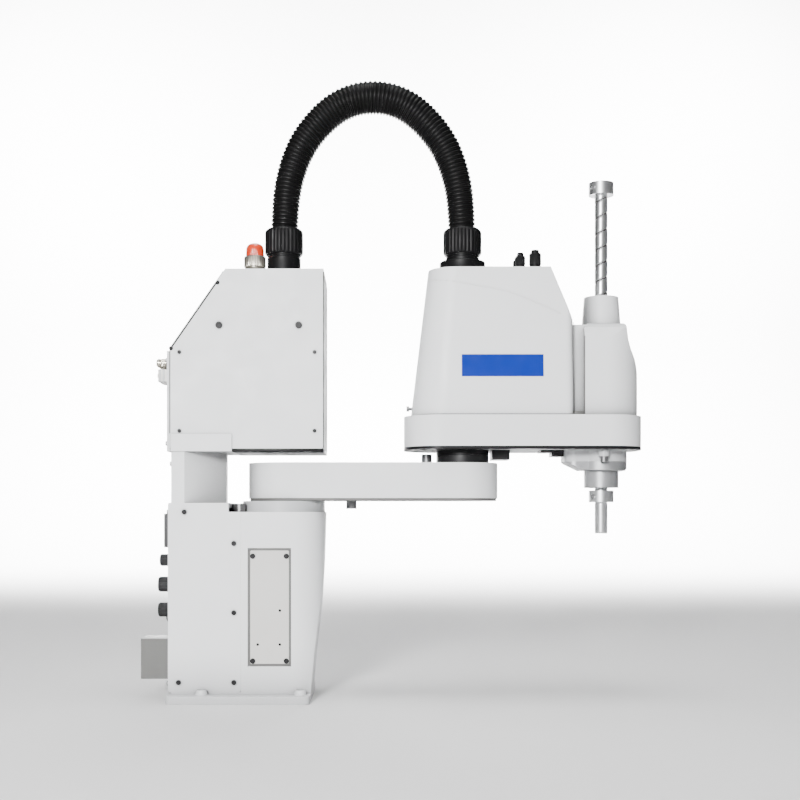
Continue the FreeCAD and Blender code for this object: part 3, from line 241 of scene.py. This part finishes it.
# The two white finishes are darkened deep in corners as painted shade, and every finish with an
# edge value has its edges lightened as wear and as a painted highlight.
FINISHES = {
    "white_paint": finish("white_paint", WHITE, 0.48, grain=1400, bump=0.10, spread=0.02,
                          edge=0.02, rounding=0.0009, shine=0.25, hollow=0.3),
    "white_cover": finish("white_cover", (0.81, 0.82, 0.83), 0.42, grain=2200, bump=0.16,
                          spread=0.02, edge=0.01, rounding=0.0016, shine=0.3, hollow=0.12),
    "grey_window": finish("grey_window", (0.60, 0.59, 0.565), 0.5, grain=1200, bump=0.08,
                          spread=0.03, edge=0.05),
    "grey_panel": finish("grey_panel", (0.50, 0.51, 0.52), 0.42, grain=1200, bump=0.10,
                         spread=0.04, edge=0.08),
    "grey_cover": finish("grey_cover", (0.105, 0.105, 0.10), 0.5, grain=1600, bump=0.2,
                         spread=0.05, edge=0.05),
    "dark_metal": finish("dark_metal", (0.013, 0.013, 0.014), 0.42, grain=1500, bump=0.10,
                         spread=0.2, edge=0.03, shine=0.25),
    "dark_plastic": finish("dark_plastic", (0.03, 0.03, 0.032), 0.45, grain=2000, bump=0.15,
                           edge=0.04, shine=0.3),
    "black_plastic": finish("black_plastic", (0.006, 0.006, 0.0065), 0.45, grain=2400, bump=0.2,
                            spread=0.15, edge=0.01, shine=0.15),
    "black_duct": finish("black_duct", (0.005, 0.005, 0.005), 0.42, grain=1800, bump=0.12,
                         spread=0.2, rounding=0.0003, shine=0.12),
    "cast_alloy": finish("cast_alloy", (0.36, 0.365, 0.375), 0.42, metallic=0.6, grain=1300,
                         bump=0.25, spread=0.08, edge=0.10),
    "bright_steel": finish("bright_steel", (0.70, 0.71, 0.72), 0.32, metallic=0.9,
                           grain=2400, bump=0.10, spread=0.06, edge=0.06,
                           stretch=(1, 1, 0.04)),
    "screw_steel": finish("screw_steel", (0.22, 0.22, 0.225), 0.35, metallic=0.7, grain=2400,
                          bump=0.15, spread=0.2, edge=0.12, rounding=0.0003),
    "motor_black": finish("motor_black", (0.035, 0.035, 0.037), 0.45, grain=900, bump=0.3),
    "board_green": finish("board_green", (0.02, 0.16, 0.07), 0.35, grain=700, bump=0.2),
    "belt_rubber": finish("belt_rubber", (0.02, 0.02, 0.02), 0.7, grain=1500, bump=0.4),
    "pale_plastic": finish("pale_plastic", (0.62, 0.61, 0.58), 0.42, grain=2000, bump=0.15,
                           edge=0.04),
    "fitting_brass": finish("fitting_brass", (0.50, 0.47, 0.40), 0.30, metallic=0.9, grain=1500,
                            bump=0.12, spread=0.12, edge=0.10),
    "button_green": finish("button_green", (0.60, 0.60, 0.58), 0.42, grain=2000, bump=0.1),
    "orange_lens": finish("orange_lens", (0.62, 0.045, 0.012), 0.22, grain=500, bump=0.15,
                          spread=0.10, coat=0.6),
}
FINISHES["orange_lens"].node_tree.nodes["Principled BSDF"].inputs[
    "Subsurface Weight"].default_value = 0.1

MARK_BLUE = finish("mark_blue", (0.0, 0.018, 0.26), 0.6, grain=1500, bump=0.05,
                   rounding=0.00005, shine=0.15)
SCREW_BLACK = finish("screw_black", (0.012, 0.012, 0.013), 0.45, grain=2400, bump=0.1,
                     spread=0.2, rounding=0.0002, shine=0.2)
# A darker finish for the faces deep in the shaft's grooves.
GROOVE_DARK = finish("groove_dark", (0.03, 0.028, 0.026), 0.5, grain=1500, bump=0.2, spread=0.3)

# The nodes that look different from the rest of their slot.
OTHER_FINISHES = {"housing_screws": SCREW_BLACK, "arm_1_belly_cover": FINISHES["grey_cover"]}

for part in frame["record"]["subparts"]:
    chosen = OTHER_FINISHES.get(part["node"], FINISHES[part["material_slot"]])
    for slot_row in frame["nodes"][part["node"]].material_slots:
        slot_row.material = chosen


# ---------------------------------------------------------------- cable duct
# The route's (x, z) points in mm, in the plane through the arm's upright axes.
DUCT_ROUTE = (
    (0, 555.4), (0.3, 592), (5.1, 651.6), (27.8, 707.9), (78.9, 754.8),
    (146.1, 754.8), (197.2, 707.9), (219.9, 651.6), (224.7, 592), (225, 555.4),
)


def route_points(name, route):
    """Points along the smooth line whose control points are the route's."""
    data = bpy.data.curves.new(name, "CURVE")
    data.dimensions = "3D"
    data.resolution_u = 24
    spline = data.splines.new("NURBS")
    spline.points.add(len(route) - 1)
    for point, (x, z) in zip(spline.points, route):
        point.co = (x * MM, 0, z * MM, 1)
    spline.order_u = 3
    spline.use_endpoint_u = True
    line = bpy.data.objects.new(name, data)
    bpy.context.collection.objects.link(line)
    mesh = bpy.data.meshes.new_from_object(line)
    points = [v.co.copy() for v in mesh.vertices]
    bpy.data.meshes.remove(mesh)
    bpy.data.objects.remove(line)
    return points


def walk(points, step):
    """Places and directions at even steps along a line of points."""
    lengths = [0.0]
    for a, b in zip(points, points[1:]):
        lengths.append(lengths[-1] + (b - a).length)
    count = round(lengths[-1] / step)
    spots = []
    at = 0
    for k in range(count + 1):
        want = lengths[-1] * k / count
        while at < len(points) - 2 and lengths[at + 1] < want:
            at += 1
        part_way = (want - lengths[at]) / (lengths[at + 1] - lengths[at])
        ahead = (points[at + 1] - points[at]).normalized()
        spots.append((want / lengths[-1], points[at].lerp(points[at + 1], part_way), ahead))
    return spots, lengths[-1]


def corrugated_duct():
    """The duct's ribs, a little thicker round the crown than at the two ends."""
    points = route_points("duct_line", DUCT_ROUTE)
    rib, slices, sides = 5.1 * MM, 6, 56
    depth = (1.7, 1.4, 0.2, 0.0, 0.2, 1.4)
    spots, length = walk(points, rib / slices)
    bm = bmesh.new()
    rings = []
    for k, (along, centre, ahead) in enumerate(spots):
        crown = math.sin(math.pi * along) ** 2
        radius = (16.9 + 3.5 * crown - depth[k % slices]) * MM
        across = Vector((ahead.z, 0, -ahead.x))
        ring = []
        for j in range(sides):
            t = math.tau * j / sides
            ring.append(bm.verts.new(
                centre + (across * math.cos(t) + Vector((0, 1, 0)) * math.sin(t)) * radius))
        rings.append(ring)
    skin_rings(bm, rings)
    duct = put("corrugated_duct", bm, "arm_1", "black_duct", "cable_duct")


corrugated_duct()


# ---------------------------------------------------------------- glands
def gland_nut(name, body, x, stands_for):
    """A ribbed nut that grips the duct, chamfered at both ends."""
    bm = bmesh.new()
    section = ((17.4, 555.4), (22.4, 555.4), (23.3, 556.6), (24.0, 558.4), (24.0, 583.0),
               (23.2, 585.6), (20.6, 588.0), (17.4, 588.0))
    spin_into(bm, section, (x, 0, 0), turns=216, flutes=27, depth=1.3, fluted=(3, 4))
    put(name, bm, body, "black_plastic", stands_for)


def gland_body(name, body, x, seat, brim, brim_tall, stands_for):
    """The fixed half under a gland nut: a brim on the roof, a drum and a rubber ring."""
    bm = bmesh.new()
    top = seat + brim_tall
    section = ((12, seat), (brim - 0.4, seat), (brim, seat + 0.6), (brim, top - 0.9),
               (brim - 0.9, top), (21.4, top), (21.0, top + 0.5), (21.0, 551.2), (20.0, 551.8),
               (20.0, 553.2), (21.0, 553.8), (21.0, 555.4), (12, 555.4))
    spin_into(bm, section, (x, 0, 0), turns=96)
    put(name, bm, body, "black_plastic", stands_for)


gland_nut("base_duct_nut", "root", 0, "base_gland_nut")
gland_nut("arm_duct_nut", "arm_2", 225, "arm_gland_nut")
gland_body("base_duct_collar", "root", 0, 529, 27, 3.5, "base_gland_body")
gland_body("arm_duct_collar", "arm_2", 225, 534, 28.6, 12.5, "arm_gland_body")


# ---------------------------------------------------------------- shaft
def grooved_shaft():
    """The hollow shaft with a right-hand ball groove and three straight tracks."""
    low, high, radius, bore, lead = 205.0, 640.0, 8.0, 5.5, 20.0
    sides, rows = 84, 348
    rings = []
    bm = bmesh.new()
    for row in range(rows + 1):
        z = low + (high - low) * row / rows
        ring = []
        for k in range(sides):
            t = math.tau * k / sides
            r = radius
            if z > 262:
                off = (z - lead * t / math.tau) % lead - lead / 2
                r -= 0.7 * max(0.0, 1 - (off / 1.5) ** 2)
                track = (t - math.pi / 2) % (math.tau / 3)
                track = min(track, math.tau / 3 - track) * radius
                r -= 0.4 * max(0.0, 1 - (track / 0.9) ** 2)
            elif 243 < z < 244.6:
                r = 7.4
            elif z < low + 1:
                r = 7.4
            ring.append(bm.verts.new(Vector((400 + r * math.cos(t), r * math.sin(t), z)) * MM))
        rings.append(ring)
    for z in (high, low):
        rings.append([bm.verts.new(Vector((400 + bore * math.cos(math.tau * k / sides),
                                           bore * math.sin(math.tau * k / sides), z)) * MM)
                      for k in range(sides)])
    skin_rings(bm, rings, loop=True)
    shaft = put("grooved_shaft", bm, "shaft", "bright_steel", "spline_shaft")
    shaft.data.materials.append(GROOVE_DARK)
    for face in shaft.data.polygons:
        out = math.hypot(face.center.x - 400 * MM, face.center.y) / MM
        if 7 < out < radius - 0.42 and face.center.z > 262 * MM:
            face.material_index = 1


grooved_shaft()


# ---------------------------------------------------------------- lamp
def lamp():
    """A knurled collar on the head's roof, and the ribbed dome in it."""
    centre = (-34.5, -23, 0)
    collar = bmesh.new()
    spin_into(collar, ((4, 529), (13, 529), (13, 533.4), (12.2, 534.6), (12.2, 535.4),
                       (13.4, 536.2), (13.4, 547.6), (12.6, 549), (4, 549)),
              centre, turns=180, flutes=36, depth=0.5, fluted=(5, 6))
    put("lamp_collar", collar, "root", "fitting_brass", "lamp_socket")
    dome = bmesh.new()
    spin_into(dome, ((10.6, 549), (11.2, 549.6), (11.2, 556.6), (10.9, 559.4), (9.9, 562.0),
                     (8.0, 564.0), (5.2, 565.3), (2.0, 565.7)),
              centre, bored=False, turns=144, flutes=36, depth=0.3, fluted=(1, 2))
    put("lamp_dome", dome, "root", "orange_lens", "lamp_lens")


lamp()


# ---------------------------------------------------------------- fittings and button
def roof_air_fittings():
    """Push-in fittings: a plain foot, a knurled body, a groove and a release collar."""
    bm = bmesh.new()
    tip = 4
    for x, y, radius, reach in ((296.5, -14, 6.2, 18), (316, -6, 7.6, 23), (296.5, 14, 6.2, 18)):
        spin_into(bm, ((2, 0), (radius - 0.5, 0), (radius, 0.6), (radius, 0.28 * reach),
                       (radius - 0.8, 0.30 * reach), (radius - 0.8, 0.36 * reach),
                       (radius, 0.38 * reach), (radius, reach - 1.6), (radius - 1.1, reach),
                       (0.66 * radius, reach), (0.66 * radius, reach + 0.7 * tip),
                       (0.58 * radius, reach + tip), (2, reach + tip)),
                  (x, y, 534), turns=96, flutes=24, depth=0.5, fluted=(6, 7))
    put("roof_air_fittings", bm, "arm_2", "black_plastic", "top_air_fittings")


def rear_ports():
    """Three brass fittings on the head's back, each with two collars."""
    bm = bmesh.new()
    for y in (-14, 0, 14):
        spin_into(bm, ((2, 0), (3.8, 0), (3.8, 13.5), (4.9, 14), (5.5, 14.7), (5.5, 20.6),
                       (4.8, 21.2), (4.8, 22.2), (5.5, 22.8), (5.5, 25.2), (4.8, 26),
                       (4.2, 26), (4.0, 27), (2, 27)),
                  (-131, y, 418), (-1, 0, 0), turns=96, flutes=24, depth=0.4, fluted=(4, 5))
    put("rear_ports", bm, "root", "fitting_brass", "rear_air_fittings")


def button_cap():
    """The brake-release button, with a rounded top."""
    bm = bmesh.new()
    spin_into(bm, ((3, 528), (3, 535.9), (4.2, 536), (4.2, 541.9), (3.7, 542.8), (2.4, 543)),
              (324, 12, 0), bored=False)
    put("button_cap", bm, "brake_button", "button_green", "brake_button")


roof_air_fittings()
rear_ports()
button_cap()


# ---------------------------------------------------------------- round connectors
def capped_connectors():
    """Three knurled dust caps on the base's back, and the wire that keeps the lowest."""
    bm = bmesh.new()
    for z, stem, radius, reach in ((171.5, 5.9, 7.6, 18), (141, 7.4, 9.5, 20), (109, 6.9, 9, 20)):
        spin_into(bm, ((stem, -10), (stem, 0), (radius - 0.5, 0), (radius, 0.6), (radius, 5.4),
                       (radius - 1, 6), (radius - 1, 7.2), (radius, 7.8), (radius, reach - 1.6),
                       (radius - 1.3, reach), (radius - 2.6, reach), (radius - 3, reach - 1.2),
                       (1.0, reach - 1.2)),
                  (-138, 0, z), (-1, 0, 0), bored=False, turns=144, flutes=24, depth=0.7,
                  fluted=(7, 8))
    tube_into(bm, ((-148, 0, 100.5), (-147.7, 0, 97.4), (-146.6, 0, 94.8), (-144.6, 0, 92.6),
                   (-141.6, 0, 91.0), (-138, 0, 90.6)), 0.9)
    put("capped_connectors", bm, "root", "dark_metal", "round_connectors")


def user_plug_bands():
    """Three raised bands round the user connector on the head's back."""
    bm = bmesh.new()
    for front, back in ((-153.6, -151.6), (-149.4, -147.0), (-144.4, -142.2)):
        box_into(bm, (front, -22.3, 394.1), (back, 22.3, 409.7), 0.25)
    put("user_plug_bands", bm, "root", "grey_panel")


capped_connectors()
user_plug_bands()


# ---------------------------------------------------------------- outlines of arm 2
def cover_side(x, z):
    """Half the width of the cover at a place along it and a height, in mm."""
    up = (z - 351) / 183
    half, back, corner = 52 - 12 * up, 160 + 22 * up, 42 - 8 * up
    if x > back + corner:
        return half
    return half - corner + math.sqrt(max(0, corner ** 2 - (back + corner - x) ** 2))


def cover_foot():
    """The outline of the cover's foot, from above, as (x, y, outward) points."""
    half = []
    for centre, radius, first, last in (((202, -10), 42, 180, 270), ((349.5, -43), 9, 270, 360)):
        for k in range(13):
            t = math.radians(first + (last - first) * k / 12)
            half.append((centre[0] + radius * math.cos(t), centre[1] + radius * math.sin(t),
                         (math.cos(t), math.sin(t))))
    half += [(358.5, -36, (0.7, -0.7)), (372, -36, (-0.7, -0.7)), (372, -44.5, (-0.7, -0.7))]
    for k in range(25):
        t = math.radians(270 + 90 * k / 24)
        half.append((400 + 44.5 * math.cos(t), 44.5 * math.sin(t), (math.cos(t), math.sin(t))))
    other = [(x, -y, (u, -v)) for x, y, (u, v) in half[-2:0:-1]]
    return half + other


def tray_outline(into):
    """The round-cornered outline of the tray, moved inwards by so many mm."""
    points = []
    for x, y, first in ((401.5, 9, 0), (197.6, 9, 90), (197.6, -9, 180), (401.5, -9, 270)):
        for k in range(19):
            t = math.radians(first + 90 * k / 18)
            points.append((x + (46 - into) * math.cos(t), y + (46 - into) * math.sin(t)))
    return points


# ---------------------------------------------------------------- crease and mark
# The crease's (x, z) points in mm, the same on both sides of the cover.
CREASE = (
    (185, 519.5), (190, 519), (196, 518.2), (203, 517.2), (212, 515.6), (224, 513.6), (236, 511.4),
    (260, 507.2), (278.5, 503.3), (299, 495.6), (317.8, 487.3), (330, 481.7), (342, 475.5),
)


def cover_creases():
    """A slight raised line along each side of the cover."""
    bm = bmesh.new()
    for hand in (-1, 1):
        tube_into(bm, [(x, hand * (cover_side(x, z) - 0.3), z) for x, z in CREASE], 0.75)
    put("cover_creases", bm, "arm_2", "white_cover")


def plain_blue_bar():
    """A thin blue bar that lies on the near side of the cover."""
    bm = bmesh.new()
    low, high = [], []
    for lift in (0.0, 0.35):
        for z, row in ((398, low), (425, high)):
            for x in (221, 321):
                row.append(bm.verts.new(Vector((x, -cover_side(x, z) - lift, z)) * MM))
    for corners in ((low[0], low[1], high[1], high[0]), (low[2], high[2], high[3], low[3]),
                    (low[0], low[2], low[3], low[1]), (high[0], high[1], high[3], high[2]),
                    (low[0], high[0], high[2], low[2]), (low[1], low[3], high[3], high[1])):
        bm.faces.new(corners)
    put("plain_blue_bar", bm, "arm_2", "white_cover", paint=MARK_BLUE, smooth=False)


cover_creases()
plain_blue_bar()


# ---------------------------------------------------------------- seams, painted shade and screws
def slope_seams_and_painted_shade():
    """The dark seams round the head's sloping cover and side plates, its two screws, and a dark
    line down each edge of its right face that is painted shade of that face.
    """
    bm = bmesh.new()
    for hand in (-1, 1):
        tube_into(bm, [(-134.6, hand * 51.7, 431.4), (-78.4, hand * 51.7, 512.3)], 0.9)
        tube_into(bm, [(-135.6, hand * 51.9, 328), (-135.6, hand * 51.9, 430)], 0.5)
        # A dark line down each edge of the head's right face: painted shade of that face.
        tube_into(bm, [(51.9, hand * 51.9, 310), (51.9, hand * 51.9, 525)], 0.6)
        for x, z in ((-134.2, 431.8), (-77.4, 512.0)):
            spin_into(bm, ((2.3, 0), (2.5, 0.3), (2.5, 0.6), (1.7, 0.9)), (x, hand * 51.9, z),
                      (0, hand, 0), bored=False, turns=24)
    put("slope_seams_and_painted_shade", bm, "root", "black_plastic")


def window_painted_shade():
    """A dark frame round each window plate of the base: painted shade of the plate's recess."""
    bm = bmesh.new()
    for hand in (-1, 1):
        rings = []
        for into, y in ((0, 49.4), (0, 50.8), (2.8, 50.8), (2.8, 49.4)):
            ring = []
            for x, z, first in ((7.8, 183.2, 0), (-36, 183.2, 90), (-36, 48.2, 180),
                                (7.8, 48.2, 270)):
                for k in range(9):
                    t = math.radians(first + 90 * k / 8)
                    ring.append(bm.verts.new(Vector((x + (4.5 - into) * math.cos(t), hand * y,
                                                     z + (4.5 - into) * math.sin(t))) * MM))
            rings.append(ring)
        skin_rings(bm, rings, loop=True)
    put("window_painted_shade", bm, "root", "grey_cover")


def cover_foot_painted_shadow():
    """The dark line between the cover's foot and the tray: a painted shadow of the gap there."""
    bm = bmesh.new()
    rings = []
    for proud, z in ((-0.8, 351.05), (0.3, 351.05), (0.3, 352.0), (-0.8, 352.0)):
        rings.append([bm.verts.new(Vector((x + u * proud, y + v * proud, z)) * MM)
                      for x, y, (u, v) in cover_foot()])
    skin_rings(bm, rings, loop=True)
    put("cover_foot_painted_shadow", bm, "arm_2", "dark_plastic")


def valley_painted_shade():
    """A dark strip at the foot of each of the cover's valleys, and a dark line up both its edges:
    painted shade of the valley and its rounded edges.
    """
    bm = bmesh.new()
    for hand in (-1, 1):
        box_into(bm, (358.7, min(hand * 35.6, hand * 38.5), 351.2),
                 (371.8, max(hand * 35.6, hand * 38.5), 356.5), 0.4)
        tube_into(bm, [(358.2, hand * 43.9, 352), (358.2, hand * 43.4, 465)], 0.35)
        tube_into(bm, [(372.2, hand * 44.3, 352), (372.2, hand * 44.3, 448)], 0.45)
    put("valley_painted_shade", bm, "arm_2", "grey_cover")


def back_screws():
    """Five small screws up each edge of the back."""
    bm = bmesh.new()
    for hand in (-1, 1):
        for x, y, z in ((-138, 46, 22), (-138, 46, 232), (-134, 47, 291), (-139.8, 44, 418),
                        (-139.8, 44, 316)):
            spin_into(bm, ((2.5, 0), (2.8, 0.3), (2.8, 1.7), (2.3, 2.2), (1.5, 2.2), (1.4, 1.2)),
                      (x, hand * y, z), (-1, 0, 0), bored=False, turns=24)
    put("back_screws", bm, "root", "screw_steel")


slope_seams_and_painted_shade()
window_painted_shade()
cover_foot_painted_shadow()
valley_painted_shade()
back_screws()


# ---------------------------------------------------------------- painted shade under the head and the tray
def tray_underside_painted_shade():
    """A dark rim round the underside of arm 2's tray: painted shade of the underside."""
    bm = bmesh.new()
    rings = [[bm.verts.new(Vector((x, y, z)) * MM) for x, y in tray_outline(into)]
             for into, z in ((-0.15, 309.2), (-0.15, 312.6), (14, 312.6), (14, 309.2))]
    skin_rings(bm, rings, loop=True)
    put("tray_underside_painted_shade", bm, "arm_2", "black_plastic")


def head_underside_painted_shade():
    """A dark slab under the head box, in front of the neck: painted shade of the head's underside.
    """
    bm = bmesh.new()
    box_into(bm, (-60, -52.15, 305.6), (52.15, 52.15, 309.4), 0.2)
    put("head_underside_painted_shade", bm, "root", "black_plastic")


tray_underside_painted_shade()
head_underside_painted_shade()


# ---------------------------------------------------------------- floor and light
def backdrop():
    """A pale floor that curves up into a wall behind the arm, in metres."""
    half, front, wall, top, bend = 2.4, -1.2, 5.0, 6.0, 1.2
    sweep = [(front, 0.0)]
    for k in range(13):
        t = math.pi / 2 * k / 12
        sweep.append((wall - bend + bend * math.sin(t), bend - bend * math.cos(t)))
    sweep.append((wall, top))
    bm = bmesh.new()
    rows = [[bm.verts.new((x, y, z)) for x in (-half, half)] for y, z in sweep]
    for low, high in zip(rows, rows[1:]):
        bm.faces.new((low[0], low[1], high[1], high[0]))
    floor = link("floor", bm, smooth=True)
    paint = bpy.data.materials.new("floor_white")
    paint.use_nodes = True
    shader = paint.node_tree.nodes["Principled BSDF"]
    shader.inputs["Base Color"].default_value = (0.80, 0.80, 0.80, 1)
    shader.inputs["Roughness"].default_value = 0.95
    floor.data.materials.append(paint)


def soft_box(name, spot, aim, width, height, power, beam=180):
    """A rectangle of light that faces a point, its beam in degrees."""
    data = bpy.data.lights.new(name, "AREA")
    data.shape = "RECTANGLE"
    data.size, data.size_y = width, height
    data.energy = power
    data.spread = math.radians(beam)
    made = bpy.data.objects.new(name, data)
    made.location = spot
    made.rotation_euler = (Vector(aim) - Vector(spot)).to_track_quat("-Z", "Y").to_euler()
    bpy.context.collection.objects.link(made)


backdrop()

world = bpy.data.worlds.new("studio")
bpy.context.scene.world = world
world.use_nodes = True
world.node_tree.nodes["Background"].inputs["Color"].default_value = (0.95, 0.97, 1, 1)
world.node_tree.nodes["Background"].inputs["Strength"].default_value = 0.08

# The two backdrop lamps have a narrow beam, so that they don't light the arm's sides.
soft_box("front_box", (-0.45, -2.4, 0.9), (0.115, 0, 0.38), 0.4, 0.5, 125)
soft_box("top_box", (0.115, -0.3, 2.4), (0.115, 0, 0.3), 1.0, 1.0, 34)
soft_box("backdrop_left", (-2.6, 2.4, 3.4), (-0.7, 4.8, 1.0), 1.5, 1.5, 700, 95)
soft_box("backdrop_right", (2.8, 2.4, 3.4), (0.9, 4.8, 1.0), 1.5, 1.5, 700, 95)
